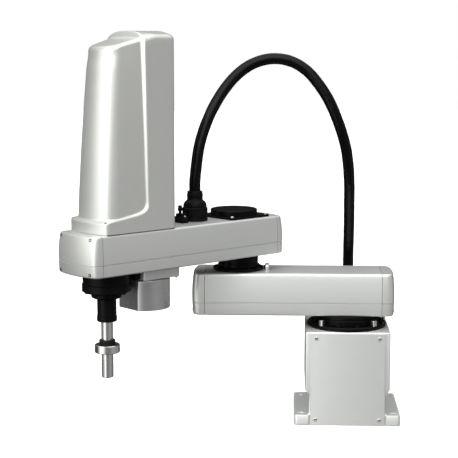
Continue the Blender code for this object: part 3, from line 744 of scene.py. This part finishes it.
def fluted(radius, depth, flutes, z0, z1, chamfer=0.8, cx=0.0, cy=0.0):
    """A grip ring with rounded flutes, such as a gland nut."""
    segments = flutes * 8
    rings = []
    levels = ((z0, chamfer), (z0 + chamfer, 0.0), (z1 - chamfer, 0.0), (z1, chamfer))
    for z, inset in levels:
        points = []
        for i in range(segments):
            angle = 2 * math.pi * i / segments
            r = radius - inset - depth * (0.5 - 0.5 * math.cos(flutes * angle)) ** 2
            points.append((cx + r * math.cos(angle), cy + r * math.sin(angle), z))
        rings.append(points)
    return loft(rings)


def build_elbow():
    """The elbow's flange and reducer, its motor's plate and cap, and the stop bolt."""
    low, high, x, radius = round_box("j2_lower_flange", ARM1)
    flange = turned([(radius - 0.4, low.z), (radius, low.z + 0.4), (radius, high.z - 1.2),
                     (radius - 1.2, high.z)], 96, x)
    piece("elbow_flange", flange, ON_ARM1, "black_coat", replaces=["j2_lower_flange"])
    places = bolt_circle(12, radius - 4.6, high.z - 0.1, x)
    screw_row("elbow_flange_screws", 2.6, 2.2, places, (0, 0, 1), ON_ARM1, "black_coat")

    low, high = local_box("j2_reducer", ARM2)
    radius = high.x
    waist = [(radius - 1.0, low.z), (radius, low.z + 1.0), (radius, low.z + 7.5),
             (radius - 1.3, low.z + 8.0), (radius - 1.3, low.z + 9.2), (radius, low.z + 9.7),
             (radius, high.z - 5.0), (radius - 0.9, high.z - 4.6), (radius - 0.9, high.z)]
    piece("elbow_reducer", turned(waist, 96), ON_ARM2, "black_coat", replaces=["j2_reducer"])

    low, high = local_box("j2_stopper_bolt", ARM1)
    x = (low.x + high.x) / 2
    bolt = joined((turned([(5.9, 0), (6.0, 0.3), (6.0, 2.2), (5.4, 2.8)], 32),
                   Matrix.Translation((x, 0, low.z))),
                  (hex_head(10.6, 4.0), Matrix.Translation((x, 0, low.z + 2.8))),
                  (turned([(3.4, 0), (3.4, 4.0), (2.9, 4.4)], 24),
                   Matrix.Translation((x, 0, high.z - 4.4))))
    piece("elbow_stop_bolt", bolt, ON_ARM1, "bright_steel", replaces=["j2_stopper_bolt"])

    low, high = local_box("j2_motor_plate", ARM2)
    plate = prism(rounded_rectangle(low.x, high.x, low.y, high.y, 6), low.z, high.z)
    piece("elbow_motor_plate", plate, ON_ARM2, "black_coat", replaces=["j2_motor_plate"], bevel=0.6)
    places = [(x, y, high.z - 0.1) for x in (low.x + 6.5, high.x - 6.5)
              for y in (low.y + 6.5, high.y - 6.5)]
    screw_row("elbow_motor_plate_screws", 3.4, 2.6, places, (0, 0, 1), ON_ARM2, "bright_steel")
    low, high, x, radius = round_box("j2_motor_cap", ARM2)
    dome = [(radius - 0.3, low.z), (radius, low.z + 0.3), (radius, low.z + 3.6),
            (radius - 0.9, low.z + 4.0), (radius - 0.9, low.z + 4.8), (radius, low.z + 5.2)]
    dome += arc(radius - 2.6, high.z - 3.2, 2.6, 0, 80, 6)
    dome += [(radius * share, high.z - 0.3 * share) for share in (0.7, 0.4, 0.1)]
    piece("elbow_motor_cap", turned(dome, 96, x), ON_ARM2, "black_coat",
          replaces=["j2_motor_cap"], sharp=40)


def build_arm2_glands():
    """The hose gland on arm 2 and the small connectors between it and the cover."""
    low, high, x, radius = round_box("arm2_hose_gland", ARM2)
    inner = HOSE_RADIUS + 0.2
    nut = fluted(radius, 1.1, 18, low.z + 8.0, low.z + 24.0, 1.2, x)
    foot = turned([(radius - 0.6, low.z), (radius, low.z + 0.6), (radius, low.z + 4.6),
                   (radius - 1.4, low.z + 5.4), (radius - 1.8, low.z + 8.2)], 72, x)
    dome_foot = low.z + 23.6
    dome = [(radius - 2.2, dome_foot), (radius - 1.6, dome_foot + 2.0)]
    dome += [(mix(13.6, radius - 1.6, math.cos(math.radians(a))),
              dome_foot + 2.0 + 10.5 * math.sin(math.radians(a))) for a in (15, 30, 45, 60, 75)]
    dome += [(13.9, low.z + 38.0), (13.9, high.z - 9.0), (14.4, high.z - 8.4),
             (14.4, high.z - 5.6), (13.6, high.z - 5.0), (13.6, high.z - 1.2), (12.6, high.z),
             (inner, high.z), (inner, high.z - 6.0)]
    piece("arm2_gland", joined(nut, foot, turned(dome, 72, x)), ON_ARM2, "black_plastic",
          replaces=["arm2_hose_gland"], sharp=40)

    low, high = local_box("arm2_signal_socket", ARM2)
    socket = joined(block(low.x, high.x, low.y, high.y, low.z, high.z - 5.0, 1.5),
                    block(low.x + 1.2, high.x - 1.2, low.y + 3, high.y - 3,
                          high.z - 5.2, high.z, 2))
    piece("arm2_socket", socket, ON_ARM2, "black_plastic", replaces=["arm2_signal_socket"],
          bevel=0.5)
    places = [((low.x + high.x) / 2, y, high.z - 5.1) for y in (low.y + 1.9, high.y - 1.9)]
    places += [(128.2, 6.7, low.z), (129.0, -15.0, low.z), (152.0, -14.0, low.z)]
    screw_row("arm2_top_screws", 2.2, 2.2, places, (0, 0, 1), ON_ARM2, "bright_steel")
    low, high = local_box("arm2_air_fitting", ARM2)
    x, y = (low.x + high.x) / 2, (low.y + high.y) / 2
    fitting = [(2.7, low.z), (2.7, low.z + 4.0), (4.2, low.z + 4.4), (4.2, high.z - 4.5),
               (3.6, high.z - 4.0), (3.6, high.z - 1.2), (3.1, high.z), (1.8, high.z),
               (1.8, high.z - 4.0)]
    piece("arm2_fitting", turned(fitting, 40, x, y), ON_ARM2, "black_plastic",
          replaces=["arm2_air_fitting"])


# ------------------------------------------------------ shaft and its drive

CAN_RADIUS = 44.0
CAN_CENTRE = 218.8
CAN_NOSE = 8.6


def build_bearings():
    """The turned housings, the sleeve, the belt cover and the R motor under arm 2."""
    low, high, x, radius = round_box("shaft_bearing_housing", ARM2)
    housing = [(21.5, low.z), (radius - 3.2, low.z), (radius, low.z + 2.2),
               (radius, low.z + 14.0), (radius - 1.4, low.z + 15.2), (radius - 1.4, high.z),
               (21.5, high.z)]
    piece("bearing_housing", turned_ring(housing, 96, x), ON_ARM2, "black_coat",
          replaces=["shaft_bearing_housing"])
    places = bolt_circle(8, 34.0, low.z, x, 0, 22.5)
    screw_row("bearing_housing_screws", 3.0, 2.6, places, (0, 0, -1), ON_ARM2, "black_coat")
    low, high, x, radius = round_box("shaft_seal_housing", ARM2)
    seal = [(17.6, low.z), (radius - 3.6, low.z), (radius - 0.8, low.z + 1.6),
            (radius, low.z + 2.6), (radius, high.z), (17.6, high.z)]
    piece("seal_housing", turned_ring(seal, 72, x), ON_ARM2, "black_coat",
          replaces=["shaft_seal_housing"])
    low, high = local_box("spline_sleeve", TOOL_AXIS)
    radius = high.x
    sleeve = [(10.4, low.z + 1.2), (11.2, low.z), (radius - 1.2, low.z), (radius, low.z + 1.2),
              (radius, low.z + 9.0), (radius - 0.7, low.z + 9.6), (radius - 0.7, high.z - 12.0),
              (radius, high.z - 11.4), (radius, high.z), (10.4, high.z)]
    piece("spline_sleeve_skin", turned_ring(sleeve, 72), ON_NUT, "black_coat",
          replaces=["spline_sleeve"])

    low, high = local_box("r_motor_plate", ARM2)
    plate = prism(rounded_rectangle(low.x, high.x, low.y, high.y, 5), low.z, high.z)
    piece("r_motor_plate_skin", plate, ON_ARM2, "silver_paint", replaces=["r_motor_plate"],
          bevel=1.0)
    places = [(x, y, low.z + 0.1) for x in (low.x + 6, high.x - 6)
              for y in (low.y + 4.4, high.y - 4.4)]
    screw_row("r_motor_plate_screws", 2.6, 2.4, places, (0, 0, -1), ON_ARM2, "bright_steel")
    low, high = local_box("r_belt_cover", ARM2)
    cover = prism(rounded_rectangle(low.x, high.x, low.y, high.y, 3), low.z, high.z)
    piece("r_belt_cover_skin", cover, ON_ARM2, "black_plastic", replaces=["r_belt_cover"],
          bevel=1.2)

    low, high = local_box("r_motor_cover", ARM2)
    front, radius, centre = high.x + CAN_NOSE, CAN_RADIUS, CAN_CENTRE
    turn = math.degrees(math.acos((front - centre) / radius))
    outline = arc(centre, 0.0, radius, turn, 360.0 - turn, 72)
    piece("r_motor_can", prism(outline, low.z, high.z), ON_ARM2, "grey_paint",
          replaces=["r_motor_cover"], bevel=1.2, segments=4, sharp=36)


def build_tool():
    """The splined shaft, its stop collar and the rubber bumper on it."""
    low, high = local_box("tool_shaft", TOOL_AXIS)
    radius = high.x
    segments = 144
    rings = []
    for z, inset in ((low.z, 1.2), (low.z + 1.2, 0.0), (high.z - 0.8, 0.0), (high.z, 0.8)):
        points = []
        for i in range(segments):
            angle = 2 * math.pi * i / segments
            off_groove = ((angle + 0.62) % (math.pi / 2)) - math.pi / 4
            groove = max(0.0, 1.0 - (off_groove * radius / 2.1) ** 2)
            r = radius - inset - 1.5 * math.sqrt(groove)
            points.append((r * math.cos(angle), r * math.sin(angle), z))
        rings.append(points)
    piece("tool_shaft_skin", loft(rings), ON_TOOL, "bright_steel",
          replaces=["tool_shaft"], sharp=40)

    low, high = local_box("stopper_collar", TOOL_AXIS)
    radius, bore = high.x, 10.4
    profile = [(bore, low.z + 0.8), (bore + 0.8, low.z), (radius - 1.0, low.z),
               (radius, low.z + 1.0), (radius, high.z - 1.0), (radius - 1.0, high.z),
               (bore + 0.8, high.z),
               (bore, high.z - 0.8)]
    collar = piece("stop_collar", turned_ring(profile, 96), ON_TOOL,
                   "bright_steel", replaces=["stopper_collar"], bevel=0.3)
    cut(collar, block(5.0, radius + 4, -0.8, 0.8, low.z - 2, high.z + 2, 0.2))
    middle_z = (low.z + high.z) / 2
    cut(collar, joined((turned([(3.2, 0.0), (3.2, 16.0)], 32),
                        facing((15.6, -7.6, middle_z), (0, -1, 0)))))
    piece("stop_collar_screw", joined((socket_screw(2.9, 3.0), facing((15.6, -7.7, middle_z),
                                                                       (0, -1, 0)))),
          ON_TOOL, "black_coat")
    low, high = local_box("collar_bumper", TOOL_AXIS)
    radius = high.x
    rubber = [(bore, low.z), (radius - 0.8, low.z), (radius, low.z + 0.8), (radius, low.z + 2.6),
              (radius - 0.9, low.z + 3.2), (radius, low.z + 3.8), (radius, high.z - 1.2),
              (radius - 1.2, high.z), (bore, high.z)]
    piece("bumper", turned_ring(rubber, 72), ON_TOOL, "black_rubber", replaces=["collar_bumper"])


# ----------------------------------------------------------- shoulder and base

def build_shoulder():
    """The ring, reducer and hub under arm 1, with its stops and bolts."""
    low, high = local_box("j1_mounting_ring", BASE)
    radius = high.x
    ring_profile = [(45.4, low.z), (radius - 0.5, low.z), (radius, low.z + 0.5),
                    (radius, high.z - 1.4), (radius - 1.4, high.z), (45.4, high.z)]
    piece("shoulder_ring", turned_ring(ring_profile, 120), ON_BASE, "black_coat",
          replaces=["j1_mounting_ring"])
    places = bolt_circle(12, 64.0, high.z, start=15.0)
    screw_row("shoulder_ring_screws", 3.2, 3.2, places, (0, 0, 1), ON_BASE, "black_coat")
    low, high = local_box("j1_reducer", BASE)
    radius = high.x
    flange = high.z - 9.4
    reducer = [(44.4, low.z), (44.4, flange), (radius - 0.8, flange), (radius, flange + 0.8),
               (radius, flange + 3.6), (radius - 1.0, flange + 4.2), (radius - 1.0, flange + 5.0),
               (radius, flange + 5.6), (radius, high.z - 0.8), (radius - 0.8, high.z)]
    piece("shoulder_reducer", turned(reducer, 120), ON_BASE, "black_coat", replaces=["j1_reducer"])
    low, high = local_box("j1_output_hub", ARM1)
    radius = high.x
    hub = [(radius - 0.8, low.z), (radius, low.z + 0.8), (radius, high.z - 0.8),
           (radius - 0.8, high.z)]
    piece("shoulder_hub", turned(hub, 120), ON_ARM1, "black_coat", replaces=["j1_output_hub"])
    for side in ("left", "right"):
        node = f"j1_stopper_{side}"
        centre = middle(node)
        low, high = local_box(node, BASE)
        angle = math.degrees(math.atan2(centre.y, centre.x))
        stop = joined((block(-4.5, 4.5, -4.5, 4.5, 0.0, high.z - low.z, 1.4),
                       Matrix.Translation((centre.x, centre.y, low.z))
                       @ Matrix.Rotation(math.radians(angle), 4, "Z")))
        piece(f"shoulder_stop_{side}", stop, ON_BASE, "bright_steel", replaces=[node], bevel=0.7)


def build_base():
    """The cast base, its front plate, and the connector box behind it."""
    low, high = local_box("base_housing", BASE)
    half, front, rear, top = high.x, low.y, high.y, high.z
    foot, body_half, inset_front, inset_rear = 69.7, 76.0, front + 2.7, rear - 3.0
    outlines = [(0.0, half - 0.8, front + 0.8, rear - 0.8, 5.0), (0.8, half, front, rear, 5.8),
                (17.6, half, front, rear, 5.8), (18.6, half - 0.4, front + 0.4, rear - 0.4, 5.4),
                (19.0, half - 1.4, front + 1.4, rear - 1.4, 4.4)]
    for inset, z in arc(4.0, 23.0, 4.0, 270, 180, 5):
        outlines.append((z, foot + 4.0 - (4.0 - inset), inset_front + 0.5 - 0.1 * inset,
                         inset_rear - 0.5 + inset, 3.0))
    outlines += [(56.0, foot, inset_front + 0.5, inset_rear - 0.5, 3.0),
                 (65.0, body_half - 0.4, inset_front + 0.05, inset_rear - 0.05, 3.0),
                 (66.5, body_half, inset_front, inset_rear, 3.0),
                 (top - 2.0, body_half, inset_front, inset_rear, 3.0)]
    outlines += [(top - 2.0 + z, body_half - inset, inset_front + inset, inset_rear - inset,
                  3.0 - inset * 0.5)
                 for inset, z in arc(2.0, 0.0, 2.0, 180, 90, 4)[1:]]
    rings = [[(x, y, z) for x, y in rounded_rectangle(-h, h, f, r, radius)]
             for z, h, f, r, radius in outlines]
    housing = piece("base_casting", loft(rings), ON_BASE, "silver_paint",
                    replaces=["base_housing"], sharp=35)
    cut(housing, block(-61.7, 61.7, front - 5, rear - 11, 8.0, top - 8.0, 4.0))
    cut(housing, block(-foot - 0.3, foot + 0.3, front - 5, inset_front, -1.0, 20.5, 0.5))
    for x in (-84.0, 84.0):
        for y in (-61.0, 61.0):
            cut(housing, turned([(4.5, -1.0), (4.5, 17.0), (7.5, 17.02), (7.5, 22.0)], 40, x, y))

    low, high = local_box("base_front_cover", BASE)
    plate = block(low.x, high.x, low.y, high.y, low.z, high.z, 0.05)
    piece("base_front_plate", plate, ON_BASE, "silver_paint", replaces=["base_front_cover"],
          bevel=0.7)
    for index in range(1, 5):
        node = f"front_cover_screw_{index}"
        centre, size = middle(node), span(node)
        screw = joined((socket_screw(size.x / 2, size.y + 0.3),
                        facing((centre.x, centre.y + size.y / 2 + 0.3, centre.z), (0, -1, 0))))
        piece(f"plate_screw_{index}", screw, ON_BASE, "bright_steel", replaces=[node])

    low, high = local_box("base_connector_box", BASE)
    shell = prism(rounded_rectangle(low.x, high.x, low.y, high.y, 4), low.z, high.z)
    piece("connector_box", shell, ON_BASE, "silver_paint", replaces=["base_connector_box"],
          bevel=1.5)
    rear_screws = [(x, high.y, z) for x in (low.x + 5, high.x - 5) for z in (low.z + 6, high.z - 6)]
    screw_row("connector_box_screws", 2.4, 1.8, rear_screws, (0, 1, 0), ON_BASE, "bright_steel")


def panel_socket(node, flange, corner, margin_x, margin_z, hood_corner):
    """A socket on the rear panel: a flange and the hood that stands on it."""
    low, high = local_box(node, BASE)
    depth = high.y - low.y
    socket = joined(block(low.x, high.x, low.z, high.z, 0.0, flange, corner),
                    block(low.x + margin_x, high.x - margin_x, low.z + margin_z,
                          high.z - margin_z, flange - 0.2, depth, hood_corner))
    stand = Matrix(((1, 0, 0, 0), (0, 0, 1, low.y), (0, 1, 0, 0), (0, 0, 0, 1)))
    bmesh.ops.transform(socket, matrix=stand, verts=socket.verts)
    bmesh.ops.recalc_face_normals(socket, faces=socket.faces)
    return socket, low, high


def build_connectors():
    """The sockets and fittings on the back of the base, and its hose gland."""
    socket, low, high = panel_socket("robot_cable_socket", 4.0, 2.0, 2, 3, 3.0)
    piece("cable_socket", socket, ON_BASE, "black_plastic", replaces=["robot_cable_socket"],
          bevel=0.6)
    places = [(x, low.y + 4.0, (low.z + high.z) / 2) for x in (low.x + 1.9, high.x - 1.9)]
    socket, low, high = panel_socket("user_signal_socket", 3.0, 1.2, 3, 4, 1.6)
    piece("signal_socket", socket, ON_BASE, "black_plastic",
          replaces=["user_signal_socket"], bevel=0.4)
    places += [((low.x + high.x) / 2, low.y + 3.0, z) for z in (low.z + 2.0, high.z - 2.0)]
    screw_row("socket_screws", 1.6, 1.6, places, (0, 1, 0), ON_BASE, "bright_steel")
    for index in (1, 2):
        node = f"base_air_fitting_{index}"
        low, high = local_box(node, BASE)
        radius, length = (high.x - low.x) / 2, high.y - low.y
        fitting = turned([(radius - 0.4, 0.0), (radius, 0.4), (radius, 5.6), (radius - 0.8, 6.2),
                          (radius - 0.8, length - 2.4), (radius - 1.6, length - 2.0),
                          (radius - 1.6, length - 0.4), (radius - 2.0, length), (2.2, length),
                          (2.2, length - 5.0)], 40)
        centre = middle(node)
        bmesh.ops.transform(fitting, matrix=facing((centre.x, low.y, centre.z), (0, 1, 0)),
                            verts=fitting.verts)
        piece(f"air_fitting_{index}", fitting, ON_BASE, "black_plastic", replaces=[node])
    low, high, x, radius = round_box("base_hose_gland", BASE)
    y, inner = (low.y + high.y) / 2, HOSE_RADIUS + 0.2
    foot = turned([(radius - 0.5, low.z), (radius, low.z + 0.5), (radius, low.z + 5.0),
                   (radius - 1.2, low.z + 5.6)], 72, x, y)
    nut = fluted(radius, 1.0, 16, low.z + 5.4, low.z + 19.0, 1.2, x, y)
    dome = [(radius - 1.6, low.z + 18.6), (radius - 1.6, low.z + 21.0),
            (radius - 4.0, low.z + 25.0), (13.9, low.z + 27.0), (13.9, high.z - 4.0),
            (13.4, high.z - 1.0), (12.6, high.z),
            (inner, high.z), (inner, high.z - 6.0)]
    piece("base_gland", joined(foot, nut, turned(dome, 72, x, y)), ON_BASE,
          "black_plastic", replaces=["base_hose_gland"], sharp=40)


# ------------------------------------------------------------- carried-over CAD

def dress_cad():
    """Gives every CAD node that still shows its finish."""
    slots = {row["node"]: row["material_slot"] for row in frame["record"]["subparts"]}
    for name, node in frame["nodes"].items():
        if not node.hide_render:
            node.data.materials.clear()
            node.data.materials.append(finish(slots[name], unit=1 / MM))


# ------------------------------------------------------------- floor and light

def area_light(name, place, target, size, power):
    """A soft rectangular lamp aimed at a point."""
    data = bpy.data.lights.new(name, "AREA")
    data.shape = "RECTANGLE"
    data.size, data.size_y = size
    data.energy = power
    lamp = bpy.data.objects.new(name, data)
    bpy.context.scene.collection.objects.link(lamp)
    lamp.location = place
    lamp.rotation_euler = (Vector(target) - Vector(place)).to_track_quat("-Z", "Y").to_euler()


def glow(tree, direction, azimuth, height, inner, outer, amount):
    """A soft panel of light round one direction of the studio's sky."""
    link = tree.links.new
    across, up = math.radians(azimuth), math.radians(height)
    aim = (math.sin(across) * math.cos(up), -math.cos(across) * math.cos(up), math.sin(up))
    cosine = add(tree, "ShaderNodeVectorMath", operation="DOT_PRODUCT")
    cosine.inputs[1].default_value = aim
    link(direction, cosine.inputs[0])
    fade = add(tree, "ShaderNodeMapRange", interpolation_type="SMOOTHSTEP")
    fade.inputs["From Min"].default_value = math.cos(math.radians(outer))
    fade.inputs["From Max"].default_value = math.cos(math.radians(inner))
    fade.inputs["To Max"].default_value = amount
    link(cosine.outputs["Value"], fade.inputs["Value"])
    return fade.outputs["Result"]


FLOOR_HALF = 12.0
FLOOR_GAP = 0.0006
STUDIO_FILL = 0.04
STUDIO_PANELS = (
    # azimuth (0 is the camera's side, negative is left), height, inner, outer, amount
    (-46.0, 14.0, 10.0, 48.0, 2.3),
    (2.0, 44.0, 8.0, 44.0, 2.9),
    (0.0, 90.0, 12.0, 62.0, 1.9),
    (88.0, 5.0, 20.0, 70.0, 0.24),
    (0.0, 20.0, 60.0, 150.0, 0.20),
)


def build_stage():
    """A white floor and backdrop, and a soft studio round the robot."""
    floor_mesh = bpy.data.meshes.new("floor")
    bm = bmesh.new()
    bmesh.ops.create_grid(bm, x_segments=8, y_segments=8, size=FLOOR_HALF)
    bm.to_mesh(floor_mesh)
    bm.free()
    floor = bpy.data.objects.new("floor", floor_mesh)
    floor.location.z = -FLOOR_GAP
    floor.visible_diffuse = False
    floor.visible_glossy = False
    bpy.context.scene.collection.objects.link(floor)
    material, tree, shader = new_material("pale_floor")
    shader.inputs["Base Color"].default_value = (0.62, 0.62, 0.62, 1.0)
    shader.inputs["Roughness"].default_value = 0.9
    shader.inputs["Specular IOR Level"].default_value = 0.0
    shader.inputs["Emission Color"].default_value = (1.0, 1.0, 1.0, 1.0)
    shader.inputs["Emission Strength"].default_value = 0.42
    floor_mesh.materials.append(material)

    world = bpy.data.worlds.new("studio")
    bpy.context.scene.world = world
    world.use_nodes = True
    tree = world.node_tree
    link = tree.links.new
    direction = add(tree, "ShaderNodeTexCoord").outputs["Generated"]
    total = None
    for panel in STUDIO_PANELS:
        light = glow(tree, direction, *panel)
        adder = add(tree, "ShaderNodeMath", operation="ADD")
        adder.inputs[0].default_value = STUDIO_FILL
        if total:
            link(total, adder.inputs[0])
        link(light, adder.inputs[1])
        total = adder.outputs[0]
    seen = add(tree, "ShaderNodeLightPath").outputs["Is Camera Ray"]
    shown = add(tree, "ShaderNodeMix", data_type="FLOAT")
    shown.inputs[3].default_value = 1.0
    link(seen, shown.inputs["Factor"])
    link(total, shown.inputs[2])
    link(shown.outputs[0], tree.nodes["Background"].inputs["Strength"])
    tree.nodes["Background"].inputs["Color"].default_value = (1.0, 1.0, 1.0, 1.0)
    bpy.context.scene.view_settings.view_transform = "Standard"

    area_light("key", (-1.7, -1.9, 1.5), (-0.15, 0.0, 0.35), (0.7, 0.9), 14.0)


make_camera()
build_hose()
build_arm_shell("arm1", ARM1, cap_screws=(36.0, 8.0), extra=0.8, corner=13.0, crown=8.0)
build_arm_shell("arm2", ARM2, cap_screws=(41.0, 5.5), extra=6.5, corner=10.0, crown=15.0)
build_z_cover()
build_elbow()
build_arm2_glands()
build_bearings()
build_tool()
build_shoulder()
build_base()
build_connectors()
dress_cad()
build_stage()
